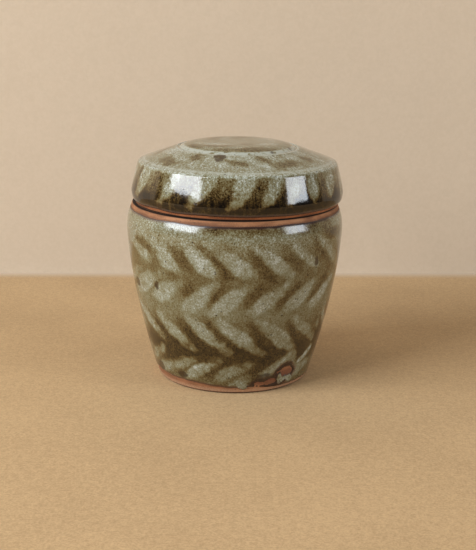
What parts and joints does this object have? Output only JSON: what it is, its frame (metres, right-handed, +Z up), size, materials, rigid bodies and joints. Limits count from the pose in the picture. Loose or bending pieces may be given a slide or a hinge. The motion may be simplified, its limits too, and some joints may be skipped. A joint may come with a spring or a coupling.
{
  "type": "lidded stoneware jar",
  "caption": "Wheel-thrown glazed stoneware jar with a tapered body and a broad flat-topped cap lid that lifts off a collar.",
  "frame": {"origin": "centre of the jar's flat base, on the surface it stands on", "axes": "+Z up along the jar's axis, towards the lid; +X to the right of the pictured view, +Y away from the viewer"},
  "size_m": [0.1128, 0.1128, 0.1235],
  "materials": {
    "jar_clay": "bare iron-rich stoneware, matt, fine turning lines",
    "jar_outer_glaze": "glossy grey-green ash glaze over brown, wiped chevron strokes",
    "jar_inner_glaze": "glossy olive ash glaze",
    "lid_clay": "bare iron-rich stoneware, matt, fine turning lines",
    "lid_outer_glaze": "glossy grey-green ash glaze over brown, wiped strokes, thin and pale on the bevel",
    "lid_inner_glaze": "glossy olive ash glaze"
  },
  "bodies": {
    "jar": {"jar_body": "jar_clay", "jar_glaze": "jar_outer_glaze", "jar_liner": "jar_inner_glaze"},
    "lid": {"lid_body": "lid_clay", "lid_glaze": "lid_outer_glaze", "lid_liner": "lid_inner_glaze"}
  },
  "joints": [
    {"name": "lid_lift", "type": "slide", "parent": "jar", "child": "lid", "axis": [0, 0, 1], "range_m": [0, 0.08]}
  ]
}
